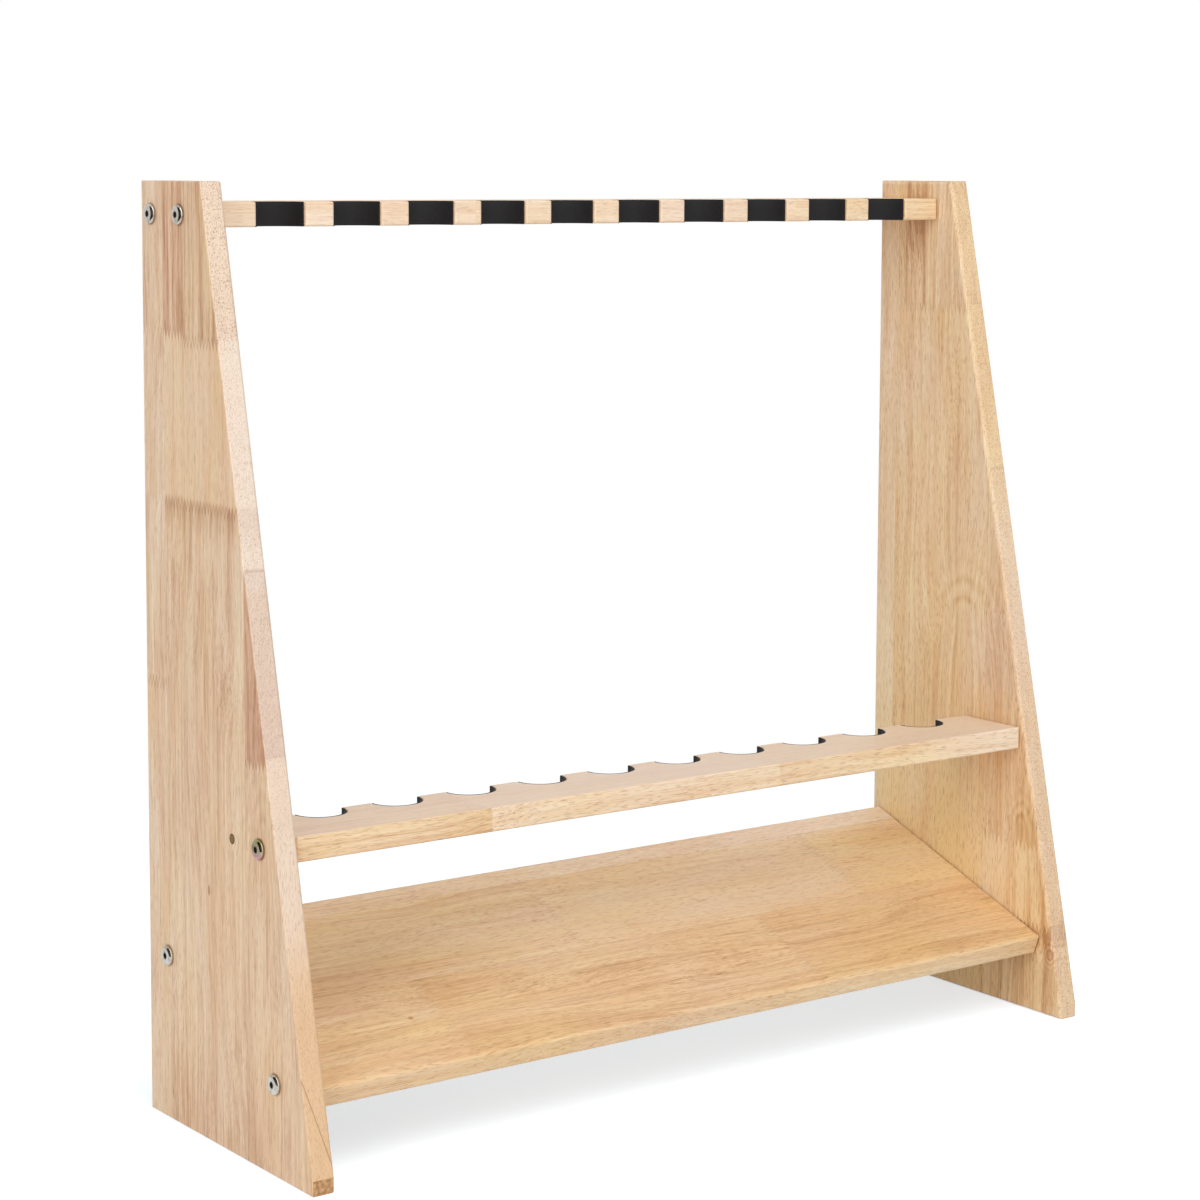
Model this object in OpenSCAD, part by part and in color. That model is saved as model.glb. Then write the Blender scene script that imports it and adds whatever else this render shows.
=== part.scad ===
// Freestanding wooden rod rack: two tapered end panels carry a notched top bar,
// a notched middle bar and a sloping bottom board. Millimetres, +Z up.
// X runs along the rack, +Y is the back, and the origin is on the floor
// under the middle of the rack.

/* [End panels] */
// Width of the rack over the outer faces of the end panels
rack_w = 690; // [672:2:800]
// Height of the end panels
panel_h = 650; // [600:5:760]
// Depth of an end panel at the floor
foot_depth = 222; // [212:1:250]
// Depth of an end panel at its top
head_depth = 83; // [76:1:100]
// Height of the upright toe under the sloping front edge
toe_h = 10; // [6:1:20]
// Thickness of all the boards
board_t = 17; // [15:0.5:20]
// Radius on the corners and outer edges of the end panels
panel_ease = 1; // [0.5:0.25:2]
// Radius on the inner edges of the end panels
panel_inner_ease = 2.5; // [1:0.25:3]

/* [Edges of the bars and board] */
// Radius on the long edges of the two bars, and on the top bar's ends
bar_ease = 1.5; // [0.5:0.25:2.5]
// Radius on the long edges of the bottom board
board_ease = 3; // [1:0.25:3.5]
// Radius on the end edges of the middle bar and the bottom board
end_ease = 3; // [1:0.25:3.5]

/* [Top bar] */
// Drop of the top bar below the top of the panels
top_bar_drop = 14; // [8:1:30]
// Setback of the top bar behind the panels' front edge
top_bar_setback = 18; // [10:1:24]

/* [Middle bar] */
// Height of the middle bar's underside above the floor
mid_bar_z = 207; // [180:1:260]
// Depth of the middle bar, front to back
mid_bar_depth = 62; // [54:1:80]
// Setback of the middle bar behind the panels' front edge
mid_bar_setback = 2.5; // [1:0.5:10]

/* [Bottom board] */
// Width of the bottom board along its slope
bottom_board_w = 203; // [190:1:206]
// Slope of the bottom board, down towards the front
board_slope = 20; // [14:0.5:22]
// Height of the bottom board's front upper edge
board_front_z = 62.5; // [50:0.5:75]
// Setback of that edge behind the panels' front edge
board_setback = 11; // [8:0.5:14]

/* [Rod notches] */
// Distance from an end panel to the middle of the nearest notch
notch_end_inset = 53.5; // [51:0.5:94]
// Radius of the round end of a notch in the wood
notch_r = 19; // [15:0.5:20]
// Straight wall between the round end and the mouth's corners
notch_neck = 0.5; // [0.5:0.5:4]
// Radius on the two corners of a notch's mouth
mouth_r = 2; // [1:0.25:3]
// Chamfer on the upper and lower rims of a notch
rim_chamfer = 0.8; // [0.3:0.1:0.8]
// Thickness of the foam pad that lines a notch
pad_t = 1; // [0.8:0.1:3]

/* [Bolts and barrel nuts] */
// Shank diameter of a connector bolt
bolt_d = 6; // [5:0.5:6.5]
// Diameter of its head
bolt_head_d = 14; // [12:0.5:16]
// Height of its head
bolt_head_h = 3; // [2.5:0.25:4]
// Height of the straight rim of the head
bolt_rim_h = 0.8; // [0.4:0.1:1.2]
// Hexagon socket, across flats
socket_af = 4; // [3:0.5:5]
// Depth of the hexagon socket
socket_depth = 2.2; // [1.5:0.1:2.4]
// Diameter of a barrel nut
nut_d = 10; // [9:0.5:11]
// Length of a barrel nut
nut_len = 12; // [10:0.5:13]
// Distance of the barrel nuts from the end of a board
nut_inset = 27; // [22:0.5:30]
// Width of the slot across a barrel nut's end
nut_slot_w = 1.3; // [0.8:0.1:2]
// Depth of that slot
nut_slot_depth = 1.5; // [0.8:0.1:2]
// How far a bolt reaches past its barrel nut
bolt_past_nut = 2; // [1:0.5:4]
// Chamfer on the inner ends of the bolts and dowels
pin_chamfer = 0.8; // [0.4:0.1:1.2]
// Inset of the top bar's bolts from its front and rear faces
top_bolt_inset = 14; // [12:0.5:18]
// Inset of the middle bar's bolt from its front face
mid_bolt_inset = 17; // [12:0.5:20]
// Inset of the bottom board's bolts from its front and rear edges
board_bolt_inset = 23.5; // [16:0.5:40]

/* [Dowels] */
// Diameter of the locating dowel of the middle bar
dowel_d = 7; // [6:0.5:8]
// Depth of the dowel in the middle bar
dowel_grip = 24; // [16:1:28]
// Inset of the dowel from the middle bar's rear face
dowel_inset = 8.5; // [7:0.5:12]

/* [Clearances] */
// Added to a bolt's diameter for its holes in the wood
bolt_hole_clear = 0.6; // [0.4:0.1:1]
// Added to a bolt's diameter for the bore of its nut
nut_bore_clear = 0.2; // [0.1:0.05:0.3]
// Added to a nut's diameter for its hole
nut_hole_clear = 0.3; // [0.2:0.05:0.5]
// Added to a dowel's diameter for its holes
dowel_hole_clear = 0.1; // [0.1:0.05:0.3]
// Glue gap between a foam pad and its notch
pad_glue = 0.1; // [0.05:0.05:0.2]

/* [Hidden] */
$fn = 64;

notch_count = 10;
// Overrun of a cutter past the face that it opens
over = 1;

inner_w = rack_w - 2 * board_t;
back_y = foot_depth / 2;
toe_y = back_y - foot_depth;

// Depth of the end panels at height z, and where their front edge is
function reach(z) = head_depth
    + (foot_depth - head_depth) * (panel_h - z) / (panel_h - toe_h);
function front_y(z) = back_y - reach(z);

// Top bar: flush with the panels' back edges
top_bar_top = panel_h - top_bar_drop;
top_bar_front = front_y(top_bar_top) + top_bar_setback;
top_bar_depth = back_y - top_bar_front;

// Middle bar: its notches open to the rear
mid_bar_top = mid_bar_z + board_t;
mid_bar_front = front_y(mid_bar_top) + mid_bar_setback;
mid_bar_rear = mid_bar_front + mid_bar_depth;

// Bottom board: front upper edge, slope frame
board_edge_y = front_y(board_front_z) + board_setback;

// Bolts: from the outer face through the panel and past the nut
bolt_len = board_t + nut_inset + nut_d / 2 + bolt_past_nut;
bolt_hole_d = bolt_d + bolt_hole_clear;
nut_hole_d = nut_d + nut_hole_clear;
dowel_hole_d = dowel_d + dowel_hole_clear;

// Rod notches: the rows spread with the rack's width, so the pitch follows it
notch_pitch = (inner_w - 2 * notch_end_inset) / (notch_count - 1);
// Depth of a notch's round end's centre, and half its mouth with the corners
notch_y = mouth_r + notch_neck;
mouth_half = notch_r + mouth_r;

wood_face = [0.87, 0.73, 0.58];
wood_bar = [0.91, 0.78, 0.60];
foam_black = [0.14, 0.14, 0.15];
nickel = [0.80, 0.80, 0.81];
nut_steel = [0.66, 0.66, 0.68];
dowel_brown = [0.55, 0.45, 0.30];

// Shared shapes

function unit(v) = v / norm(v);
function notch_x(i) = (i - (notch_count - 1) / 2) * notch_pitch;

// Extrudes an outline drawn as (y, z) along +X
module along_x(l) {
    rotate([90, 0, 90]) linear_extrude(height = l) children();
}

// What a radius r takes off the corner at v, between neighbours p and n
module corner_off(p, v, n, r) {
    u1 = unit(p - v);
    u2 = unit(n - v);
    half = acos(u1 * u2) / 2;
    mid = unit(u1 + u2);
    c = v + mid * r / sin(half);
    difference() {
        polygon([v - mid * over, v + u1 * r / tan(half), c, v + u2 * r / tan(half)]);
        translate(c) circle(r = r);
    }
}

// A straight-sided outline with every corner rounded
module eased_outline(pts, r) {
    n = len(pts);
    difference() {
        polygon(pts);
        for (i = [0 : n - 1]) corner_off(pts[(i + n - 1) % n], pts[i], pts[(i + 1) % n], r);
    }
}

// What easing by r takes off the edge from a to b (both y, z), wood on its left,
// on the face at x = 0 with the wood towards +X. The round is slightly flatter
// than a quarter circle, so that it ends on the faces at a faint arris.
module edge_off(a, b, r) {
    d = b - a;
    l = norm(d);
    flat = r / 3;
    c = r + flat;
    translate([0, a[0], a[1]]) rotate([atan2(d[1], d[0]), 0, 0])
        difference() {
            translate([-over, -over, -over])
                cube([c + over - flat / 2, l + 2 * over, c + over - flat / 2]);
            translate([c, -2 * over, c]) rotate([-90, 0, 0])
                cylinder(r = norm([flat, c]), h = l + 4 * over);
        }
}

// Board of outline pts from x = 0 to x = l: its long edges eased by r, and the
// edges of its two end faces by start_r and end_r
module eased_board(pts, l, r, start_r, end_r) {
    n = len(pts);
    difference() {
        along_x(l) eased_outline(pts, r);
        for (i = [0 : n - 1]) {
            edge_off(pts[i], pts[(i + 1) % n], start_r);
            translate([l, 0, 0]) mirror([1, 0, 0]) edge_off(pts[i], pts[(i + 1) % n], end_r);
        }
    }
}

// Outline of one rod notch; the bar's edge is y = 0 and its wood is at y > 0
module notch_outline() {
    round_end(notch_r);
    difference() {
        translate([-mouth_half, -over]) square([2 * mouth_half, over + mouth_r]);
        for (s = [-1, 1]) translate([s * mouth_half, mouth_r]) circle(r = mouth_r);
    }
}

// One notch cut through a bar from z = 0 to board_t, its rims chamfered
module notch_cut() {
    translate([0, 0, -over]) linear_extrude(height = board_t + 2 * over) notch_outline();
    translate([0, 0, board_t]) rim_off();
    mirror([0, 0, 1]) rim_off();
}

// What the chamfer takes off a notch's rim, on the face at z = 0 with wood below:
// a cone along the round end, a wedge along the neck and the mouth's two corners
module rim_off() {
    rise = rim_chamfer + over;
    translate([0, 0, -rim_chamfer]) {
        intersection() {
            translate([0, notch_y, 0]) cylinder(r1 = notch_r, r2 = notch_r + rise, h = rise);
            translate([-2 * notch_r, notch_y, 0]) cube([4 * notch_r, 2 * notch_r, rise]);
        }
        translate([0, notch_y, 0]) rotate([90, 0, 0]) linear_extrude(height = notch_neck)
            polygon([[-notch_r, 0], [notch_r, 0], [notch_r + rise, rise], [-notch_r - rise, rise]]);
        for (s = [0, 1]) mirror([s, 0, 0]) difference() {
            translate([notch_r, -over, 0]) cube([mouth_r, over + mouth_r, rise]);
            translate([mouth_half, mouth_r, 0])
                cylinder(r1 = mouth_r, r2 = mouth_r - rim_chamfer, h = rim_chamfer);
        }
    }
}

// Outline of the foam pad that lines a notch, between the mouth's corners
module pad_outline() {
    r = notch_r - pad_glue;
    difference() {
        round_end(r);
        round_end(r - pad_t);
        translate([-(r - pad_t), mouth_r - over]) square([2 * (r - pad_t), over + notch_neck]);
    }
}

// Round-ended slot of half width r, inwards from where the mouth's corners end
module round_end(r) {
    intersection() {
        translate([0, notch_y]) circle(r = r);
        translate([-r, notch_y]) square([2 * r, r]);
    }
    translate([-r, mouth_r]) square([2 * r, notch_neck]);
}

// Places children at notch i of the top bar, or of the middle bar
module at_top_notch(i) {
    translate([notch_x(i), top_bar_front, top_bar_top - board_t]) children();
}
module at_mid_notch(i) {
    translate([notch_x(i), mid_bar_rear, mid_bar_z]) mirror([0, 1, 0]) children();
}

// Places children in the bottom board's frame: origin at its front upper edge,
// +Y up the slope, +Z out of its upper face
module board_frame() {
    translate([0, board_edge_y, board_front_z]) rotate([board_slope, 0, 0]) children();
}

// Holes for one bolt and its barrel nut in a board whose end is at x = 0, wood
// towards +X, its underside board_t / 2 below the bolt
module bolt_and_nut_holes() {
    rotate([0, 90, 0]) translate([0, 0, -over])
        cylinder(d = bolt_hole_d, h = nut_inset + nut_d / 2 + bolt_past_nut + 2 * over);
    translate([nut_inset, 0, -board_t / 2 - over])
        cylinder(d = nut_hole_d, h = board_t / 2 + over + nut_len / 2 + nut_hole_clear);
}

// Connector bolt along +X, its head's seat at x = 0. The head has a straight rim,
// a round shoulder and a flat crown about its socket.
module connector_bolt() {
    head_r = bolt_head_d / 2;
    shoulder = bolt_head_h - bolt_rim_h;
    straight = bolt_len - pin_chamfer;
    rotate([0, 90, 0]) {
        difference() {
            rotate_extrude() {
                translate([0, -bolt_rim_h]) square([head_r, bolt_rim_h]);
                translate([0, -bolt_head_h]) square([head_r - shoulder, bolt_head_h]);
                translate([head_r - shoulder, -bolt_rim_h]) intersection() {
                    circle(r = shoulder);
                    translate([0, -shoulder]) square(shoulder);
                }
            }
            translate([0, 0, -bolt_head_h - over])
                cylinder(d = socket_af / cos(30), h = socket_depth + over, $fn = 6);
        }
        cylinder(d = bolt_d, h = straight);
        translate([0, 0, straight])
            cylinder(r1 = bolt_d / 2, r2 = bolt_d / 2 - pin_chamfer, h = pin_chamfer);
    }
}

// Barrel nut, its bore along X through the origin, its slot on the underside
module barrel_nut() {
    difference() {
        translate([0, 0, -nut_len / 2]) cylinder(d = nut_d, h = nut_len);
        rotate([0, 90, 0]) translate([0, 0, -nut_d])
            cylinder(d = bolt_d + nut_bore_clear, h = 2 * nut_d);
        translate([-nut_d, -nut_slot_w / 2, -nut_len / 2 - over])
            cube([2 * nut_d, nut_slot_w, nut_slot_depth + over]);
    }
}

// Locating dowel along +X from x = 0, its inner end chamfered
module dowel_pin() {
    straight = board_t + dowel_grip - pin_chamfer;
    rotate([0, 90, 0]) {
        cylinder(d = dowel_d, h = straight);
        translate([0, 0, straight])
            cylinder(r1 = dowel_d / 2, r2 = dowel_d / 2 - pin_chamfer, h = pin_chamfer);
    }
}

// Bolt places as seen along X: each child is drawn there with +Z out of the
// board's upper face
module at_top_bolts() {
    for (y = [top_bar_front + top_bolt_inset, back_y - top_bolt_inset])
        translate([0, y, top_bar_top - board_t / 2]) children();
}
module at_mid_bolts() {
    translate([0, mid_bar_front + mid_bolt_inset, mid_bar_z + board_t / 2]) children();
}
module at_board_bolts() {
    board_frame()
        for (u = [board_bolt_inset, bottom_board_w - board_bolt_inset])
            translate([0, u, -board_t / 2]) children();
}
module at_dowels() {
    translate([0, mid_bar_rear - dowel_inset, mid_bar_z + board_t / 2]) children();
}

// Draws children, which start at x = 0 and run towards +X, at both ends of the
// rack, from the panels' outer faces or from their inner ones
module from_both_outer_faces() {
    for (s = [0, 1]) mirror([s, 0, 0]) translate([-rack_w / 2, 0, 0]) children();
}
module from_both_inner_faces() {
    for (s = [0, 1]) mirror([s, 0, 0]) translate([-inner_w / 2, 0, 0]) children();
}

// End panels

// Tapered end panel from x = 0 (outer face) to x = board_t
module end_panel() {
    pts = [[toe_y, 0], [back_y, 0], [back_y, panel_h], [back_y - head_depth, panel_h],
        [toe_y, toe_h]];
    difference() {
        eased_board(pts, board_t, panel_ease, panel_ease, panel_inner_ease);
        panel_holes();
    }
}

// Bolt and dowel holes through an end panel
module panel_holes() {
    at_top_bolts() through_hole(bolt_hole_d);
    at_mid_bolts() through_hole(bolt_hole_d);
    at_board_bolts() through_hole(bolt_hole_d);
    at_dowels() through_hole(dowel_hole_d);
}
module through_hole(d) {
    translate([-over, 0, 0]) rotate([0, 90, 0]) cylinder(d = d, h = board_t + 2 * over);
}

module left_panel() {
    color(wood_face) translate([-rack_w / 2, 0, 0]) end_panel();
}
module right_panel() {
    color(wood_face) mirror([1, 0, 0]) translate([-rack_w / 2, 0, 0]) end_panel();
}

// Bars and board

// Straight board between the panels, lower front edge at (y, z) = (0, 0)
module plain_bar(depth, long_r, end_r) {
    translate([-inner_w / 2, 0, 0])
        eased_board([[0, 0], [depth, 0], [depth, board_t], [0, board_t]], inner_w,
            long_r, end_r, end_r);
}

module top_bar() {
    color(wood_bar) difference() {
        translate([0, top_bar_front, top_bar_top - board_t])
            plain_bar(top_bar_depth, bar_ease, bar_ease);
        for (i = [0 : notch_count - 1]) at_top_notch(i) notch_cut();
        from_both_inner_faces() at_top_bolts() bolt_and_nut_holes();
    }
}

module mid_bar() {
    color(wood_bar) difference() {
        translate([0, mid_bar_front, mid_bar_z]) plain_bar(mid_bar_depth, bar_ease, end_ease);
        for (i = [0 : notch_count - 1]) at_mid_notch(i) notch_cut();
        from_both_inner_faces() {
            at_mid_bolts() bolt_and_nut_holes();
            at_dowels() rotate([0, 90, 0]) translate([0, 0, -over])
                cylinder(d = dowel_hole_d, h = dowel_grip + dowel_hole_clear + 2 * over);
        }
    }
}

module bottom_board() {
    color(wood_face) difference() {
        board_frame() translate([0, 0, -board_t])
            plain_bar(bottom_board_w, board_ease, end_ease);
        from_both_inner_faces() at_board_bolts() bolt_and_nut_holes();
    }
}

// Foam pads

module top_pad(i) {
    color(foam_black) at_top_notch(i) linear_extrude(height = board_t) pad_outline();
}
module mid_pad(i) {
    color(foam_black) at_mid_notch(i) linear_extrude(height = board_t) pad_outline();
}

// Fittings

module top_bar_bolts() {
    color(nickel) from_both_outer_faces() at_top_bolts() connector_bolt();
}
module mid_bar_bolts() {
    color(nickel) from_both_outer_faces() at_mid_bolts() connector_bolt();
}
module bottom_board_bolts() {
    color(nickel) from_both_outer_faces() at_board_bolts() connector_bolt();
}
module top_bar_nuts() {
    color(nut_steel) from_both_inner_faces() at_top_bolts() translate([nut_inset, 0, 0]) barrel_nut();
}
module mid_bar_nuts() {
    color(nut_steel) from_both_inner_faces() at_mid_bolts() translate([nut_inset, 0, 0]) barrel_nut();
}
module bottom_board_nuts() {
    color(nut_steel) from_both_inner_faces() at_board_bolts() translate([nut_inset, 0, 0]) barrel_nut();
}
module mid_bar_dowels() {
    color(dowel_brown) from_both_outer_faces() at_dowels() dowel_pin();
}

left_panel();
right_panel();
top_bar();
mid_bar();
bottom_board();
top_pad(0);  // top_pad_01
top_pad(1);  // top_pad_02
top_pad(2);  // top_pad_03
top_pad(3);  // top_pad_04
top_pad(4);  // top_pad_05
top_pad(5);  // top_pad_06
top_pad(6);  // top_pad_07
top_pad(7);  // top_pad_08
top_pad(8);  // top_pad_09
top_pad(9);  // top_pad_10
mid_pad(0);  // mid_pad_01
mid_pad(1);  // mid_pad_02
mid_pad(2);  // mid_pad_03
mid_pad(3);  // mid_pad_04
mid_pad(4);  // mid_pad_05
mid_pad(5);  // mid_pad_06
mid_pad(6);  // mid_pad_07
mid_pad(7);  // mid_pad_08
mid_pad(8);  // mid_pad_09
mid_pad(9);  // mid_pad_10
top_bar_bolts();
mid_bar_bolts();
bottom_board_bolts();
top_bar_nuts();
mid_bar_nuts();
bottom_board_nuts();
mid_bar_dowels();
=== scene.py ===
"""Wooden rod rack: finishes, foam liners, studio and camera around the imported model.

Metres, +Z up, X along the rack, +Y is its back. Wood patterns are worked out in
millimetres, in the frame of the board that they lie on.
"""
import math

import bmesh
import bpy
from mathutils import Matrix, Vector


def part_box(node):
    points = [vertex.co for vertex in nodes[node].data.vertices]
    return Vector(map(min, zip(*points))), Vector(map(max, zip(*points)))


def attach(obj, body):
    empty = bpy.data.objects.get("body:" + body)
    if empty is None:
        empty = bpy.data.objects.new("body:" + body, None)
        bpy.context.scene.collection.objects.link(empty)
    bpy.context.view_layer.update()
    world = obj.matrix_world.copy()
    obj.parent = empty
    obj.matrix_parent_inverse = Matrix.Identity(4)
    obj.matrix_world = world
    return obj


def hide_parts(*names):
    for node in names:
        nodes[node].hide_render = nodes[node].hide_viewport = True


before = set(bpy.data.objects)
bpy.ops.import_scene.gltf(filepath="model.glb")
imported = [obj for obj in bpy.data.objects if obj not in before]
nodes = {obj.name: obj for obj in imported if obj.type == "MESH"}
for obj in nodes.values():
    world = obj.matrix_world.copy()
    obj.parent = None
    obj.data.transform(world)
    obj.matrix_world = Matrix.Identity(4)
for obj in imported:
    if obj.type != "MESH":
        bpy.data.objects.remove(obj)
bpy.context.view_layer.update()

MM = 0.001

# Places that the finishes share with the model, in millimetres
PANEL_OUT = 345.0
PANEL_IN = 328.0
BOARD_FRONT_Y = -88.6
BOARD_FRONT_Z = 62.5
BOARD_SLOPE = 20.0
TOE_TOP = 10.5

# Foam liners, in metres
PAD_OUTER = 18.9 * MM
PAD_THICK = 1.0 * MM
PAD_NECK = 0.5 * MM
PAD_BEVEL = 0.28 * MM
# Cuts across a liner, from its middle, as shares of its height, and the two steps in
# which its free face swells: how far from the middle, and the scale towards the axis
PAD_CUTS = (-0.36, -0.15, 0.15, 0.36)
PAD_SWELLS = ((0.40, 0.990), (0.2, 0.994))


def linear(r, g, b):
    """A colour written as 0 to 255 on screen, as the shader's own linear colour."""
    def one(c):
        c /= 255
        return c / 12.92 if c <= 0.04045 else ((c + 0.055) / 1.055) ** 2.4
    return (one(r), one(g), one(b), 1.0)


class Finish:
    """A material that is put together node by node; each call returns an output."""

    def __init__(self, name):
        self.material = bpy.data.materials.new(name)
        self.material.use_nodes = True
        self.tree = self.material.node_tree
        self.tree.nodes.clear()

    def feed(self, socket, value):
        if isinstance(value, bpy.types.NodeSocket):
            self.tree.links.new(value, socket)
        elif value is not None:
            socket.default_value = value

    def add(self, kind, *values, out=0, **settings):
        node = self.tree.nodes.new(kind)
        for key, value in settings.items():
            setattr(node, key, value)
        for socket, value in zip(node.inputs, values):
            self.feed(socket, value)
        return node.outputs[out]

    def math(self, operation, a, b=None, c=None):
        return self.add("ShaderNodeMath", a, b, c, operation=operation)

    def plus(self, a, b):
        return self.math("ADD", a, b)

    def times(self, a, b):
        return self.math("MULTIPLY", a, b)

    def smooth(self, value, low, high):
        """0 below low, 1 above high, smooth in between; low may be the larger one."""
        if low > high:
            return self.math("SUBTRACT", 1.0, self.smooth(value, high, low))
        return self.add("ShaderNodeMapRange", value, low, high, 0.0, 1.0,
                        interpolation_type="SMOOTHSTEP")

    def vector(self, x, y, z):
        return self.add("ShaderNodeCombineXYZ", x, y, z)

    def split(self, vector):
        node = self.tree.nodes.new("ShaderNodeSeparateXYZ")
        self.feed(node.inputs[0], vector)
        return node.outputs[0], node.outputs[1], node.outputs[2]

    def mix(self, factor, a, b, mode="MIX"):
        """Two colours mixed, through the sockets that the node keeps for colours."""
        node = self.tree.nodes.new("ShaderNodeMix")
        node.data_type = "RGBA"
        node.blend_type = mode
        self.feed(node.inputs[0], factor)
        self.feed(node.inputs[6], a)
        self.feed(node.inputs[7], b)
        return node.outputs[2]

    def tint(self, where, colour, by):
        """The colour, multiplied by a second one as far as where says."""
        return self.mix(where, colour, self.mix(1.0, colour, by, "MULTIPLY"))

    def distance(self, a, b):
        return self.math("SQRT", self.plus(self.times(a, a), self.times(b, b)))

    def place(self):
        """Places in the object's own coordinates, in metres."""
        return self.tree.nodes.new("ShaderNodeTexCoord").outputs["Object"]

    def noise(self, vector, detail=2.0, rough=0.5):
        return self.add("ShaderNodeTexNoise", vector, None, 1.0, detail, rough)

    def speckle(self, place, waves, detail):
        """Noise with so many waves to a metre."""
        fine = self.add("ShaderNodeVectorMath", place, (waves, waves, waves), operation="MULTIPLY")
        return self.noise(fine, detail)

    def ramp(self, value, stops, interpolation="LINEAR"):
        node = self.tree.nodes.new("ShaderNodeValToRGB")
        node.color_ramp.interpolation = interpolation
        band = node.color_ramp.elements
        while len(band) < len(stops):
            band.new(1.0)
        for element, (position, colour) in zip(band, stops):
            element.position = position
            element.color = colour
        self.feed(node.inputs[0], value)
        return node.outputs[0]

    def surface(self, colour, roughness, bump=None, depth=0.0002, **constants):
        """Ends the material in one principled shader; constants go on its own sockets."""
        shader = self.tree.nodes.new("ShaderNodeBsdfPrincipled")
        self.feed(shader.inputs["Base Color"], colour)
        self.feed(shader.inputs["Roughness"], roughness)
        for key, value in constants.items():
            shader.inputs[key.replace("_", " ")].default_value = value
        if bump is not None:
            node = self.tree.nodes.new("ShaderNodeBump")
            node.inputs["Strength"].default_value = 0.6
            node.inputs["Distance"].default_value = depth
            self.feed(node.inputs["Height"], bump)
            self.feed(shader.inputs["Normal"], node.outputs[0])
        out = self.tree.nodes.new("ShaderNodeOutputMaterial")
        self.tree.links.new(shader.outputs[0], out.inputs[0])
        return self.material


# Rubberwood: pale, middle and deep tones, and the tints that are multiplied onto them
WOOD_TONES = [
    (0.0, linear(247, 227, 203)),
    (0.5, linear(233, 201, 167)),
    (1.0, linear(193, 145, 106)),
]
GOLD = (1.0, 0.93, 0.64, 1.0)
PINK = (1.0, 0.945, 0.94, 1.0)
ROSE = (1.0, 0.91, 0.90, 1.0)
BLEACHED = (1.01, 1.05, 1.11, 1.0)
# A brown for pores and dark joints, also used for painted shade where parts meet
PORE_AND_SHADE_BROWN = (0.60, 0.45, 0.34, 1.0)
EDGE_PALE = linear(234, 219, 205)
FLOOR_GOLD = (0.95, 0.80, 0.60, 1.0)
# Painted light: a tint above one that brightens the board where the middle bar's shadow falls
SHADE_LIFT_TINT = (1.07, 1.03, 1.02, 1.0)
END_DARK = (0.86, 0.78, 0.70, 1.0)
COAT_WEIGHT = 0.12
COAT_ROUGHNESS = 0.28

# Finger joints, and how far the boards' patterns reach along them, in millimetres
TOOTH_PITCH = 4.4
TOOTH_LENGTH = 8.0
PANEL_REACH = (0, 655)
BOARD_REACH = (-330, 330)

# Height of the middle bar's bolts and dowels, places of all the bolts on the end panels
# as (y, z), and the radius of their heads
MID_BOLT_Z = 215.5
BOLT_PLACES = [(56.96, 627.5), (97.0, 627.5), (-45.02, MID_BOLT_Z), (-63.6, 62.5),
               (83.0, 115.9)]
BOLT_HEAD = 7.0


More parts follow.
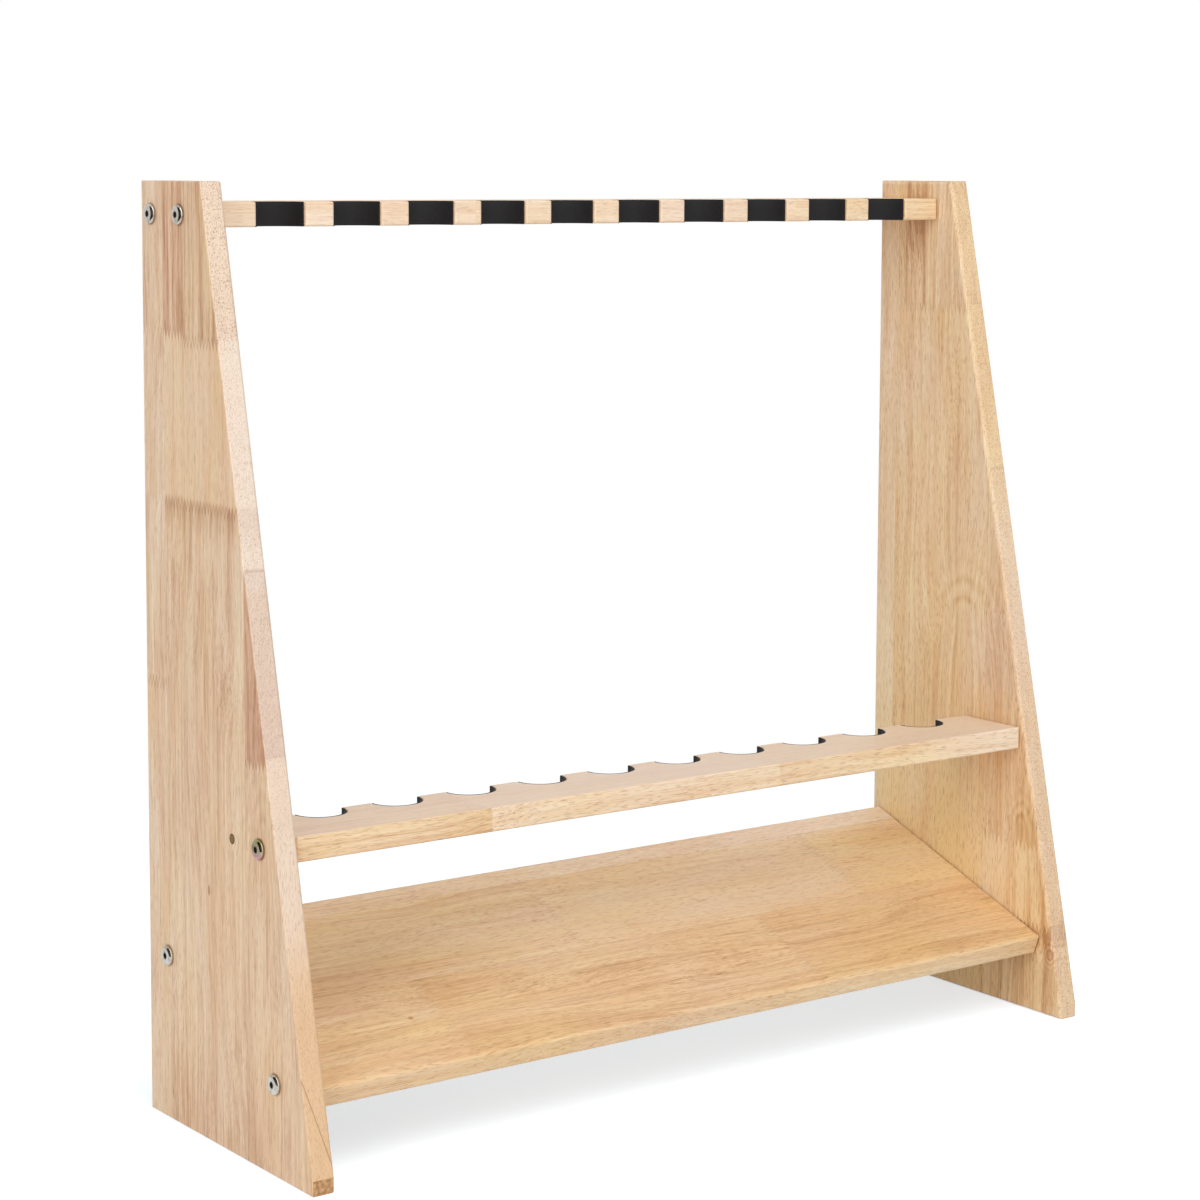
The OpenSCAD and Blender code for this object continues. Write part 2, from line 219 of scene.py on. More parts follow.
class Wood(Finish):
    """Edge-glued, finger-jointed rubberwood on one board.

    along, across and through are the board's own directions in millimetres.
    strips lists the glued strips from low to high across: (upper edge, blocks), and
    blocks lists (lower end along, tone, gold, figure) from low to high along. jointed
    says how dark the toothed joints between blocks are drawn.
    """

    def __init__(self, name, length, strips, rotate=(0, 0, 0), move=(0, 0, 0), order="XYZ",
                 jointed=0.2):
        super().__init__(name)
        self.jointed = jointed
        coords = self.tree.nodes.new("ShaderNodeTexCoord")
        place = self.tree.nodes.new("ShaderNodeMapping")
        place.inputs["Location"].default_value = move
        place.inputs["Rotation"].default_value = rotate
        place.inputs["Scale"].default_value = (1 / MM, 1 / MM, 1 / MM)
        self.feed(place.inputs[0], coords.outputs["Object"])
        turn = self.tree.nodes.new("ShaderNodeMapping")
        turn.vector_type = "NORMAL"
        turn.inputs["Rotation"].default_value = rotate
        self.feed(turn.inputs[0], coords.outputs["Normal"])
        spot = dict(zip("XYZ", self.split(place.outputs[0])))
        facing = dict(zip("XYZ", self.split(turn.outputs[0])))
        self.along, self.across, self.through = (spot[k] for k in order)
        # Knots bend the grain by shifting self.across; the bolts' rings of painted shade need it
        # straight
        self.flat_across = self.across
        self.face_along, self.face_across, self.face_through = (facing[k] for k in order)
        self.on_face = self.smooth(self.math("ABSOLUTE", self.face_through), 0.5, 0.8)
        self.on_end = self.smooth(self.math("ABSOLUTE", self.face_along), 0.7, 0.95)
        self.on_edge = self.math("SUBTRACT", 1.0, self.math("MAXIMUM", self.on_face, self.on_end))
        self.length = length
        self.extra = 0.0
        self.lay_strips(strips)

    def lay_strips(self, strips):
        """Block values of each place, with toothed ends where blocks meet."""
        low, high = self.length
        tooth = self.times(self.math("PINGPONG", self.across, TOOTH_PITCH / 2), self.on_face)
        toothed = self.plus(self.along, self.times(tooth, 2 * TOOTH_LENGTH / TOOTH_PITCH))
        share = self.add("ShaderNodeMapRange", toothed, low, high, 0.0, 1.0)
        block, seam, edge = None, 0.0, None
        for upper, blocks in strips:
            stops = [(max(0.0, (start - low) / (high - low)), (*values, 1.0))
                     for start, *values in blocks]
            if len(stops) == 1:
                stops.append((1.0, stops[0][1]))
            values = self.ramp(share, stops, "CONSTANT")
            near = 1000.0
            for start, *_ in blocks[1:]:
                away = self.math("ABSOLUTE", self.math("SUBTRACT", toothed, start))
                near = self.math("MINIMUM", near, away)
            if block is None:
                block, joint = values, near
            else:
                past = self.math("GREATER_THAN", self.across, edge)
                block = self.mix(past, block, values)
                joint = self.add("ShaderNodeMix", past, None, joint, near, data_type="FLOAT")
                line = self.math("ABSOLUTE", self.math("SUBTRACT", self.across, edge))
                seam = self.math("MAXIMUM", seam, self.smooth(line, 0.45, 0.1))
            edge = upper
        joint = self.times(self.smooth(joint, 2.0, 0.9), self.on_face)
        self.seam = self.math("MAXIMUM", self.times(seam, 0.3), self.times(joint, self.jointed))
        self.tone, self.gold, self.figure = self.split(block)
        self.seed = self.add("ShaderNodeTexWhiteNoise", block, out=1, noise_dimensions="3D")

    def between(self, value, low, high, soft):
        """1 from low to high, with soft ends."""
        return self.times(self.smooth(value, low - soft, low + soft),
                          self.smooth(value, high + soft, high - soft))

    def within(self, masks, amount):
        """The amount where all the masks are 1, and nothing where one of them is 0."""
        share = masks[0]
        for mask in masks[1:]:
            share = self.times(share, mask)
        return self.times(share, amount)

    def darker(self, amount, *masks):
        """A deeper tone where all the masks are 1, or a paler one if the amount is negative."""
        self.extra = self.plus(self.extra, self.within(masks, amount))

    def golder(self, amount, *masks):
        """More gold where all the masks are 1, or less of it if the amount is negative."""
        self.gold = self.plus(self.gold, self.within(masks, amount))

    def offset(self, across, along, wide, tall):
        """How far a place lies from a point, in widths across and in heights along."""
        return (self.math("DIVIDE", self.math("SUBTRACT", self.across, across), wide),
                self.math("DIVIDE", self.math("SUBTRACT", self.along, along), tall))

    def cloud(self, across, along, wide, tall, amount):
        """A soft patch that is darker, or paler where the amount is negative."""
        a, b = self.offset(across, along, wide, tall)
        away = self.plus(self.times(a, a), self.times(b, b))
        self.darker(amount, self.math("EXPONENT", self.times(away, -1.0)))

    def knot(self, across, along, wide, tall, dark=0.6, swirl=0.0, whole=False):
        """A knot with the grain led round it; a swirl adds arcs above it, or all round."""
        a, b = self.offset(across, along, wide, tall)
        away = self.distance(a, b)
        near = self.math("EXPONENT", self.times(self.times(away, away), -0.5))
        self.darker(dark, self.smooth(away, 1.0, 0.25))
        if swirl:
            wander = self.noise(self.vector(self.times(a, 1.3), self.times(b, 1.3), across), 1.0)
            arcs = self.math("SINE", self.plus(self.times(away, 10.0), self.times(wander, 5.0)))
            shown = near if whole else self.times(near, self.smooth(b, -0.4, 0.5))
            self.darker(swirl, arcs, shown)
        self.across = self.plus(self.across, self.times(self.times(near, a), 0.5 * wide))

    def grain(self):
        """Rings, fibres, vessels and slow changes of tone, all from noise."""
        shift = self.add("ShaderNodeVectorMath", self.seed, None, None, 900.0, operation="SCALE")
        here = self.add("ShaderNodeVectorMath", self.vector(self.along, self.across, self.through),
                        shift, operation="ADD")
        x, y, z = self.split(here)

        def spread(long, wide, dy=0.0):
            return self.vector(self.math("DIVIDE", x, long),
                               self.math("DIVIDE", self.plus(y, dy), wide),
                               self.math("DIVIDE", self.plus(z, dy), wide))

        bend = self.times(self.math("SUBTRACT", self.noise(spread(260, 55), 1.0), 0.5), 34.0)
        self.rings = self.noise(spread(330, 4.6, bend), 4.0, 0.65)
        self.bands = self.noise(spread(330, 10, bend), 1.0)
        self.streaks = self.smooth(self.noise(spread(140, 1.5, bend), 3.0, 0.6), 0.54, 0.72)
        self.fibre = self.noise(spread(60, 1.0, bend), 2.0, 0.65)
        self.broad = self.noise(spread(150, 24, bend), 2.0)
        self.warmth = self.noise(spread(120, 30, self.plus(bend, 77.0)), 1.0)
        self.vessel = self.smooth(self.noise(spread(8.0, 0.55, bend), 0.0), 0.58, 0.72)
        self.dots = self.smooth(self.noise(spread(1.3, 0.7), 1.0), 0.53, 0.65)
        self.end_dots = self.smooth(self.noise(spread(40, 0.9), 0.0), 0.58, 0.72)

    def finish(self, ring=1.5, streak=0.22, fibre=0.6, broad=0.9, fleck=0.5, edge_pale=0.5,
               edge_calm=0.0, dotted=0.0):
        """Colour, roughness and relief of the wood from what has been laid out."""
        self.grain()
        calm = self.math("SUBTRACT", 1.0, self.times(self.on_edge, edge_calm))
        figure = self.times(self.plus(0.35, self.times(self.figure, 1.3)), calm)
        strong = self.math("MAXIMUM", self.math("SUBTRACT", self.figure, 0.6), 0.0)
        strong = self.times(strong, self.on_face)

        def about(noise, amount):
            return self.times(self.math("SUBTRACT", noise, 0.5), amount)

        grain = self.times(self.streaks, streak)
        for noise, amount in ((self.rings, ring), (self.fibre, fibre), (self.broad, broad)):
            grain = self.plus(grain, about(noise, amount))
        tone = self.plus(self.plus(self.tone, self.extra), self.times(grain, figure))
        tone = self.plus(tone, about(self.bands, self.times(strong, 5.0)))
        colour = self.ramp(tone, WOOD_TONES)
        gold = self.plus(self.gold, about(self.warmth, 0.9))
        colour = self.tint(gold, colour, GOLD)
        rosy = self.smooth(self.broad, 0.35, 0.7)
        colour = self.tint(self.times(rosy, 0.7), colour, PINK)
        colour = self.mix(self.times(self.on_edge, edge_pale), colour,
                          self.mix(0.7, colour, EDGE_PALE))
        speck = self.mix(self.times(self.on_edge, dotted), self.vessel, self.dots)
        speck = self.mix(self.on_end, speck, self.end_dots)
        depth = self.plus(fleck, self.times(self.times(self.on_edge, dotted), 0.4))
        colour = self.tint(self.times(speck, depth), colour, PORE_AND_SHADE_BROWN)
        self.colour = self.tint(self.on_end, colour, END_DARK)
        self.brown(self.seam, 1.0)
        self.roughness = self.plus(0.40, self.times(self.fibre, 0.16))
        self.relief = self.math("SUBTRACT", self.times(self.fibre, 0.4), self.times(speck, 0.6))

    def tinted(self, where, by):
        """Multiplies the finished colour by another one where the mask is 1."""
        self.colour = self.tint(where, self.colour, by)

    def brown(self, where, amount):
        """Turns the finished colour towards brown."""
        self.tinted(self.times(where, amount), PORE_AND_SHADE_BROWN)

    def bolt_contact_shade(self):
        """A ring of painted shade round each bolt's head, where the head meets the wood."""
        nearest = 1000.0
        for across, along in BOLT_PLACES:
            away = self.distance(self.math("SUBTRACT", self.flat_across, across),
                                 self.math("SUBTRACT", self.along, along))
            nearest = self.math("MINIMUM", nearest, away)
        self.brown(self.smooth(nearest, BOLT_HEAD + 1.4, BOLT_HEAD), 0.75)

    def joint_shadow(self, end):
        """The eased ends of a board are darker where they meet the panels: painted shade in the
        crease.
        """
        away = self.math("ABSOLUTE", self.along)
        self.brown(self.smooth(away, end - 2.2, end - 0.3), 0.7)

    def done(self):
        return self.surface(self.colour, self.roughness, self.relief, 0.00015,
                            Coat_Weight=COAT_WEIGHT, Coat_Roughness=COAT_ROUGHNESS)


# Seams between the glued strips of the end panels, and some of the joints along them,
# in millimetres
LEFT_FRONT_SEAM = -27
LEFT_MID_SEAM = 53
LEFT_REAR_SEAM = 81
LEFT_EDGE_JOINT = 275
LEFT_LOW_JOINT = 437
LEFT_TOP_JOINT = 552
RIGHT_FRONT_SEAM = -21
RIGHT_REAR_SEAM = 88
STREAKY_BLOCK = (70, 135)

# Glued strips of the end panels, from the front edge to the back
LEFT_STRIPS = [
    (LEFT_FRONT_SEAM, [(0, 0.50, 0.20, 0.45), (LEFT_EDGE_JOINT, 0.86, 0.05, 0.50)]),
    (LEFT_MID_SEAM, [(0, 0.46, 0.20, 0.50), (LEFT_LOW_JOINT, 0.38, 0.32, 0.25),
                     (547, 0.60, 0.32, 0.60)]),
    (LEFT_REAR_SEAM, [(0, 0.46, 0.20, 0.50), (LEFT_LOW_JOINT, 0.37, 0.32, 0.25),
                      (LEFT_TOP_JOINT, 0.76, 0.05, 0.75)]),
    (None, [(0, 0.41, 0.18, 0.40), (310, 0.44, 0.12, 0.50)]),
]
RIGHT_STRIPS = [
    (RIGHT_FRONT_SEAM, [(0, 0.48, 0.44, 0.80), (STREAKY_BLOCK[0], 0.26, 0.38, 1.00),
                        (STREAKY_BLOCK[1], 0.44, 0.35, 0.55), (436, 0.44, 0.42, 0.50)]),
    (RIGHT_REAR_SEAM, [(0, 0.35, 0.55, 0.50), (552, 0.46, 0.44, 0.85)]),
    (None, [(0, 0.26, 0.40, 0.40)]),
]


def left_panel_wood():
    wood = Wood("wood_left_panel", PANEL_REACH, LEFT_STRIPS, order="ZYX", jointed=0.55)
    below_joint = wood.between(wood.across, LEFT_FRONT_SEAM, LEFT_REAR_SEAM, 2)
    below_joint = wood.times(below_joint,
                             wood.smooth(wood.along, LEFT_LOW_JOINT + 3, LEFT_LOW_JOINT - 5))
    wood.darker(0.32, wood.smooth(wood.along, LEFT_LOW_JOINT - 35, LEFT_LOW_JOINT - 5),
                below_joint)
    wood.darker(0.09, wood.smooth(wood.along, 75, 15), wood.on_face)
    wood.cloud(66, 218, 16, 34, 0.16)
    wood.cloud(30, 330, 14, 60, 0.10)
    wood.cloud(14, 280, 20, 50, 0.10)
    wood.cloud(46, 396, 5, 16, 0.20)
    wood.cloud(58, 40, 16, 40, 0.12)
    wood.cloud(-20, 35, 30, 50, 0.11)
    wood.cloud(20, 560, 30, 24, 0.08)
    wood.knot(24, 174, 2.2, 5.0, dark=0.8)
    wood.knot(-50, 226, 12, 22, dark=0.0, swirl=0.12)
    # Higher up the front edge cuts across the pores, which show as dots there
    dotted = wood.plus(wood.times(wood.smooth(wood.along, 240, 300), 0.6),
                       wood.times(wood.smooth(wood.along, 535, 552), 0.4))
    wood.finish(ring=1.3, fibre=0.8, broad=0.6, fleck=0.42, edge_pale=0.85, edge_calm=0.5,
                dotted=dotted)
    # Two blocks are rosier than the rest: one by the top bolts, one along the front edge
    by_bolts = wood.times(wood.between(wood.across, LEFT_MID_SEAM, LEFT_REAR_SEAM, 1),
                          wood.smooth(wood.along, LEFT_TOP_JOINT - 8, LEFT_TOP_JOINT - 2))
    by_edge = wood.times(wood.smooth(wood.across, LEFT_FRONT_SEAM + 1, LEFT_FRONT_SEAM - 1),
                         wood.smooth(wood.along, LEFT_EDGE_JOINT - 7, LEFT_EDGE_JOINT - 1))
    rosy_blocks = wood.times(wood.math("MAXIMUM", by_bolts, by_edge), wood.on_face)
    wood.tinted(wood.times(rosy_blocks, 0.85), ROSE)
    # Between its dotted top and its pink part the front edge is bleached
    wood.tinted(wood.times(wood.between(wood.along, 384, 545, 3), wood.on_edge), BLEACHED)
    # Nearer the floor the front edge turns golden
    wood.tinted(wood.times(wood.smooth(wood.along, 200, 105), wood.on_edge), FLOOR_GOLD)
    # A ring boundary that runs out across the front edge near the floor
    run_out = wood.plus(wood.along, wood.times(wood.plus(wood.through, PANEL_OUT), 3.6))
    line = wood.math("ABSOLUTE", wood.math("SUBTRACT", run_out, 74.0))
    forward = wood.smooth(wood.times(wood.face_across, -1.0), 0.6, 0.8)
    wood.brown(wood.times(wood.smooth(line, 2.4, 0.6), forward), 0.75)
    # Toe, sawn across: darker and mottled
    toe = wood.times(wood.math("LESS_THAN", wood.along, TOE_TOP), forward)
    mottle = wood.noise(wood.vector(wood.times(wood.along, 0.35), wood.times(wood.across, 0.35),
                                    wood.times(wood.through, 0.35)), 3.0)
    brown = wood.mix(wood.smooth(mottle, 0.35, 0.68), linear(207, 164, 112), linear(163, 114, 68))
    wood.colour = wood.mix(toe, wood.colour, brown)
    # Painted shade round the bolts' heads
    wood.bolt_contact_shade()
    return wood.done()


def right_panel_wood():
    wood = Wood("wood_right_panel", PANEL_REACH, RIGHT_STRIPS, order="ZYX")
    wood.cloud(60, 625, 14, 30, 0.25)
    # Painted light: paler near the top bar, where the face lies in shade
    wood.cloud(15, 600, 20, 40, -0.15)
    wood.cloud(-92, 62, 14, 12, 0.30)
    wood.cloud(-75, 115, 9, 60, 0.16)
    # The face is more golden low down, and less so above the middle bar and halfway up
    wood.golder(0.15, wood.smooth(wood.along, 560, 150), wood.on_face)
    above_bar = wood.times(wood.between(wood.along, 245, 315, 15),
                           wood.between(wood.across, -55, 8, 8))
    wood.golder(-0.30, above_bar)
    wood.golder(-0.12, wood.between(wood.along, 330, 500, 40), wood.on_face)
    low_front = wood.times(wood.smooth(wood.along, 205, 175), wood.smooth(wood.across, -52, -74))
    wood.darker(0.07, low_front, wood.on_face)
    wood.golder(0.20, low_front, wood.on_face)
    # On the front edge the streaky block near the floor hardly stands out
    low_block = wood.times(wood.between(wood.along, *STREAKY_BLOCK, 3), wood.on_edge)
    wood.darker(0.14, low_block)
    wood.golder(0.10, low_block)
    # Painted light: paler low down towards the board and at the back, where the face lies in
    # shade; also warmer towards the board
    shaded_low_back = wood.times(wood.smooth(wood.along, 225, 165), wood.smooth(wood.across, -50, 0))
    wood.darker(-0.38, shaded_low_back)
    wood.golder(0.25, shaded_low_back)
    wood.darker(-0.28, wood.smooth(wood.along, 340, 260),
                wood.smooth(wood.across, RIGHT_REAR_SEAM - 4, RIGHT_REAR_SEAM + 4))
    # The front edge: all of it, its upper part, its middle and its foot
    wood.golder(0.15, wood.on_edge)
    wood.golder(0.45, wood.smooth(wood.along, 300, 580), wood.on_edge)
    wood.darker(0.15, wood.smooth(wood.along, 400, 580), wood.on_edge)
    mid_edge = wood.times(wood.between(wood.along, 250, 430, 30), wood.on_edge)
    wood.darker(-0.08, mid_edge)
    wood.golder(-0.12, mid_edge)
    floor_edge = wood.times(wood.smooth(wood.along, 120, 60), wood.on_edge)
    wood.darker(0.04, floor_edge)
    wood.golder(0.15, floor_edge)
    wood.knot(-98, 49, 5, 7, dark=0.25, swirl=0.25, whole=True)
    wood.knot(-64, 146, 9, 15, dark=0.15, swirl=0.20)
    wood.knot(4, 306, 22, 24, dark=0.0, swirl=0.25)
    wood.finish(ring=1.35, broad=0.6, fleck=0.55, edge_pale=0.35, edge_calm=0.5, dotted=0.7)
    # Painted shade round the bolts' heads
    wood.bolt_contact_shade()
    return wood.done()


def top_bar_wood():
    wood = Wood("wood_top_bar", BOARD_REACH, [
        (None, [(-330, 0.20, 0.16, 0.40), (-118, 0.18, 0.22, 0.40), (178, 0.30, 0.50, 0.45)]),
    ])
    wood.golder(0.30, wood.smooth(wood.along, 60, 330))
    wood.finish(streak=0.40, broad=0.6, fleck=0.32, edge_pale=0.25)
    wood.joint_shadow(PANEL_IN)
    return wood.done()


def mid_bar_wood():
    wood = Wood("wood_mid_bar", BOARD_REACH, [
        (None, [(-330, 0.46, 0.48, 0.50), (-173, 0.24, 0.32, 0.45), (81, 0.28, 0.55, 0.50)]),
    ])
    wood.darker(-0.32, wood.smooth(wood.along, 170, 290))
    wood.golder(-0.15, wood.smooth(wood.along, 170, 290))
    wood.finish(streak=0.35, broad=0.6, fleck=0.55, edge_pale=0.05)
    # The upper face is drawn pinker and greyer than the rest
    up = wood.smooth(wood.face_through, 0.6, 0.85)
    wood.colour = wood.mix(wood.times(up, 0.6), wood.colour, linear(232, 208, 188))
    wood.joint_shadow(PANEL_IN)
    return wood.done()


def bottom_board_wood():
    slope = math.radians(BOARD_SLOPE)
    turn = Matrix.Rotation(-slope, 3, "X")
    start = turn @ Vector((0.0, BOARD_FRONT_Y, BOARD_FRONT_Z))
    wood = Wood("wood_bottom_board", BOARD_REACH, [
        (92, [(-330, 0.46, 0.58, 0.40), (-198, 0.52, 0.60, 0.50), (112, 0.54, 0.66, 0.40)]),
        (182, [(-330, 0.42, 0.60, 0.45), (-45, 0.36, 0.60, 0.40), (225, 0.36, 0.75, 0.40)]),
        (None, [(-330, 0.36, 0.26, 0.35), (-140, 0.34, 0.24, 0.35)]),
    ], rotate=(-slope, 0, 0), move=tuple(-start))
    wood.golder(0.08, wood.smooth(wood.along, 120, 320))
    wood.golder(0.16, wood.smooth(wood.along, -80, -200))
    # Painted light: paler in the band where the bar above casts its soft shadow, to even that
    # shade out
    shaded = wood.times(wood.between(wood.across, 84, 142, 24), wood.smooth(wood.along, -260, -20))
    wood.darker(-0.38, shaded)
    # The rear right corner is paler and less golden
    far_corner = wood.times(wood.smooth(wood.along, 80, 220), wood.smooth(wood.across, 160, 184))
    wood.darker(-0.20, far_corner)
    wood.golder(-0.30, far_corner)
    wood.darker(-0.08, wood.smooth(wood.along, 60, 116), wood.on_edge)
    wood.darker(-0.16, wood.on_edge)
    wood.golder(0.02, wood.on_edge)
    wood.knot(52, -225, 3, 3, dark=0.6)
    wood.cloud(150, -250, 26, 40, -0.18)
    wood.knot(158, -150, 14, 30, dark=0.0, swirl=0.07)
    wood.knot(130, 300, 16, 26, dark=0.0, swirl=0.12)
    wood.finish(ring=1.1, streak=0.28, broad=0.35, fleck=0.5, edge_pale=0.05)
    # Painted light: the band in the bar's shadow is also brightened by a tint above one
    wood.tinted(wood.times(shaded, wood.on_face), SHADE_LIFT_TINT)
    wood.joint_shadow(PANEL_IN)
    return wood.done()


# Deepest place of the bolts' sockets, and their crowns, from the middle of the rack,
# and how far from a bolt's axis the dull ring of painted shade round its socket reaches, in
# millimetres
SOCKET_FLOOR = 345.8
BOLT_CROWN = 348.0
SOCKET_RIM_REACH = 2.6
# The dowels' y, on the height of the middle bar's bolts
DOWEL_Y = -8.5


def nickel(name, bright, dull, yellowed=False):
    """Polished plating with fine turning marks, dull and dark inside the sockets, where the
    darkness is painted shade.
    """
    f = Finish(name)
    coords = f.tree.nodes.new("ShaderNodeTexCoord")
    here = coords.outputs["Object"]
    marks = f.speckle(here, 1400.0, 3.0)
    patches = f.speckle(here, 260.0, 2.0)
    colour = f.mix(f.smooth(patches, 0.35, 0.75), bright, dull)
    out = f.times(f.math("ABSOLUTE", f.split(here)[0]), 1 / MM)
    facing = f.math("ABSOLUTE", f.split(coords.outputs["Normal"])[0])
    floor = f.times(f.math("GREATER_THAN", facing, 0.9),
                    f.math("LESS_THAN", out, (SOCKET_FLOOR + BOLT_CROWN) / 2))
    wall = f.times(f.math("LESS_THAN", facing, 0.1),
                   f.math("GREATER_THAN", out, SOCKET_FLOOR + 0.1))
    socket = f.math("MAXIMUM", floor, wall)
    across, along = (f.times(v, 1 / MM) for v in f.split(here)[1:])
    if yellowed:
        # The yellowed plating turns pink low on a head and green high on it
        above = f.math("SUBTRACT", along, MID_BOLT_Z)
        colour = f.mix(f.times(f.smooth(above, -0.5, -4.0), 0.65), colour, linear(184, 138, 148))
        colour = f.mix(f.times(f.smooth(above, 2.0, 5.5), 0.5), colour, linear(138, 150, 96))
    # Rougher round the mouth of the socket, and darker there as painted shade, as at a chamfer
    dull_shaded_rim = 0.0
    for y, z in BOLT_PLACES:
        away = f.distance(f.math("SUBTRACT", across, y), f.math("SUBTRACT", along, z))
        dull_shaded_rim = f.math("MAXIMUM", dull_shaded_rim, f.smooth(away, SOCKET_RIM_REACH + 0.4, SOCKET_RIM_REACH - 0.3))
    colour = f.mix(f.times(dull_shaded_rim, 0.6), colour, linear(112, 100, 86))
    # Painted shade: the socket's floor and walls are darkened
    colour = f.mix(f.times(socket, 0.85), colour, linear(140, 125, 108))
    rough = f.plus(f.plus(0.11, f.times(marks, 0.10)), f.times(dull_shaded_rim, 0.25))
    return f.surface(colour, rough, marks, 0.00003, Metallic=1.0)


def nut_steel():
    """Zinc-plated steel of the barrel nuts, duller than the bolts."""
    f = Finish("steel_zinc")
    grain = f.speckle(f.place(), 900.0, 3.0)
    colour = f.mix(f.smooth(grain, 0.35, 0.7), linear(190, 190, 192), linear(158, 160, 166))
    return f.surface(colour, f.plus(0.30, f.times(grain, 0.15)), grain, 0.00004, Metallic=1.0)


def foam():
    """Black closed-cell foam: matt, with fine open cells."""
    f = Finish("foam_black")
    here = f.place()
    cells = f.speckle(here, 2600.0, 2.0)
    slow = f.speckle(here, 120.0, 1.0)
    colour = f.mix(f.smooth(cells, 0.4, 0.7), linear(26, 24, 25), linear(37, 35, 36))
    colour = f.mix(f.times(f.smooth(slow, 0.4, 0.8), 0.4), colour, linear(34, 32, 33))
    return f.surface(colour, f.plus(0.60, f.times(cells, 0.2)), cells, 0.0001,
                     Specular_IOR_Level=0.28)


def dowel_end():
    """Beech dowel, cut off flush: brown end grain with rings, and painted shade round its rim."""
    f = Finish("dowel_wood")
    x, y, z = f.split(f.place())
    y = f.times(f.math("SUBTRACT", y, DOWEL_Y * MM), 1 / MM)
    z = f.times(f.math("SUBTRACT", z, MID_BOLT_Z * MM), 1 / MM)
    away = f.distance(y, z)
    wobble = f.noise(f.vector(f.times(x, 60.0), f.times(y, 0.5), f.times(z, 0.5)), 2.0)
    rings = f.math("SINE", f.plus(f.times(y, 4.5), f.times(wobble, 6.0)))
    colour = f.mix(f.smooth(rings, -1.0, 1.0), linear(118, 90, 48), linear(142, 112, 66))
    # Painted shade: darker round the rim, as in the mouth of a shallow hole
    colour = f.mix(f.smooth(away, 2.4, 3.4), colour, linear(86, 62, 34))
    return f.surface(colour, 0.6, rings, 0.00005, Specular_IOR_Level=0.3)


def dress(finish, *names):
    """Gives CAD nodes a finish through their material slots."""
    for name in names:
        slots = nodes[name].material_slots
        if not slots:
            nodes[name].data.materials.append(finish)
        for slot in nodes[name].material_slots:
            slot.material = finish


dress(left_panel_wood(), "left_panel")
dress(right_panel_wood(), "right_panel")
dress(top_bar_wood(), "top_bar")
dress(mid_bar_wood(), "mid_bar")
dress(bottom_board_wood(), "bottom_board")
dress(nickel("nickel_polished", linear(196, 190, 181), linear(162, 154, 140)),
      "top_bar_bolts", "bottom_board_bolts")
dress(nickel("nickel_yellowed", linear(166, 152, 126), linear(130, 112, 80), yellowed=True),
      "mid_bar_bolts")
dress(nut_steel(), "top_bar_nuts", "mid_bar_nuts", "bottom_board_nuts")
dress(dowel_end(), "mid_bar_dowels")


def pick(vertices=None, edges=None):
    """In edit mode, selects the vertices or the edges that a test says yes to."""
    bpy.ops.mesh.select_all(action="DESELECT")
    mesh = bmesh.from_edit_mesh(bpy.context.object.data)
    for parts, test in ((mesh.verts, vertices), (mesh.edges, edges)):
        if test:
            for part in parts:
                if test(part):
                    part.select_set(True)
    mesh.select_flush_mode()
    bmesh.update_edit_mesh(bpy.context.object.data)


def middle_of(edge):
    return (edge.verts[0].co + edge.verts[1].co) / 2


def modifier(kind, **settings):
    """Puts one modifier on the active object and applies it."""
    made = bpy.context.object.modifiers.new(kind.lower(), kind)
    for key, value in settings.items():
        setattr(made, key, value)
    bpy.ops.object.modifier_apply(modifier=made.name)


def foam_liner(centre, low, high):
    """One foam strip bent round a notch that opens towards the front, crowned a little."""
    bpy.ops.object.select_all(action="DESELECT")
    bpy.ops.mesh.primitive_cylinder_add(vertices=64, radius=PAD_OUTER, depth=high - low,
                                        end_fill_type="NOTHING", location=(0, 0, 0))
    bpy.ops.object.mode_set(mode="EDIT")
    bpy.ops.mesh.select_all(action="SELECT")
    bpy.ops.mesh.bisect(plane_co=(0, 0, 0), plane_no=(0, 1, 0), clear_inner=True)
    pick(edges=lambda e: e.is_boundary and abs(middle_of(e).y) < 0.05 * MM)
    bpy.ops.mesh.extrude_region_move(TRANSFORM_OT_translate={"value": (0, -PAD_NECK, 0)})
    for part in PAD_CUTS:
        bpy.ops.mesh.select_all(action="SELECT")
        bpy.ops.mesh.bisect(plane_co=(0, 0, part * (high - low)), plane_no=(0, 0, 1))
    bpy.ops.mesh.select_all(action="SELECT")
    bpy.ops.mesh.remove_doubles(threshold=0.01 * MM)
    bpy.ops.mesh.normals_make_consistent(inside=False)
    bpy.ops.object.mode_set(mode="OBJECT")
    modifier("SOLIDIFY", thickness=PAD_THICK, offset=-1.0, use_even_offset=True)
    # The free inner face swells between its edges, which the glue holds down
    bpy.ops.object.mode_set(mode="EDIT")
    for reach, swell in PAD_SWELLS:
        pick(vertices=lambda v: v.co.xy.length < PAD_OUTER - PAD_THICK / 2
             and v.co.y > 0.2 * MM and abs(v.co.z) < reach * (high - low))
        bpy.ops.transform.resize(value=(swell, swell, 1), center_override=(0, 0, 0))
    bpy.ops.mesh.select_all(action="SELECT")
    bpy.ops.mesh.normals_make_consistent(inside=False)
    bpy.ops.object.mode_set(mode="OBJECT")
    modifier("BEVEL", width=PAD_BEVEL, segments=3, limit_method="ANGLE",
             angle_limit=math.radians(50))
    bpy.ops.object.shade_smooth_by_angle(angle=math.radians(35))
    bpy.ops.transform.translate(value=(centre[0], centre[1], (low + high) / 2))
    bpy.ops.object.transform_apply(location=True, rotation=True, scale=True)
    return bpy.context.object


def settle(piece, node, material):
    """Names a finished liner after the node that it stands for."""
    piece.name = "foam_" + node
    piece.data.materials.clear()
    piece.data.materials.append(material)
    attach(piece, "root")
    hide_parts(node)


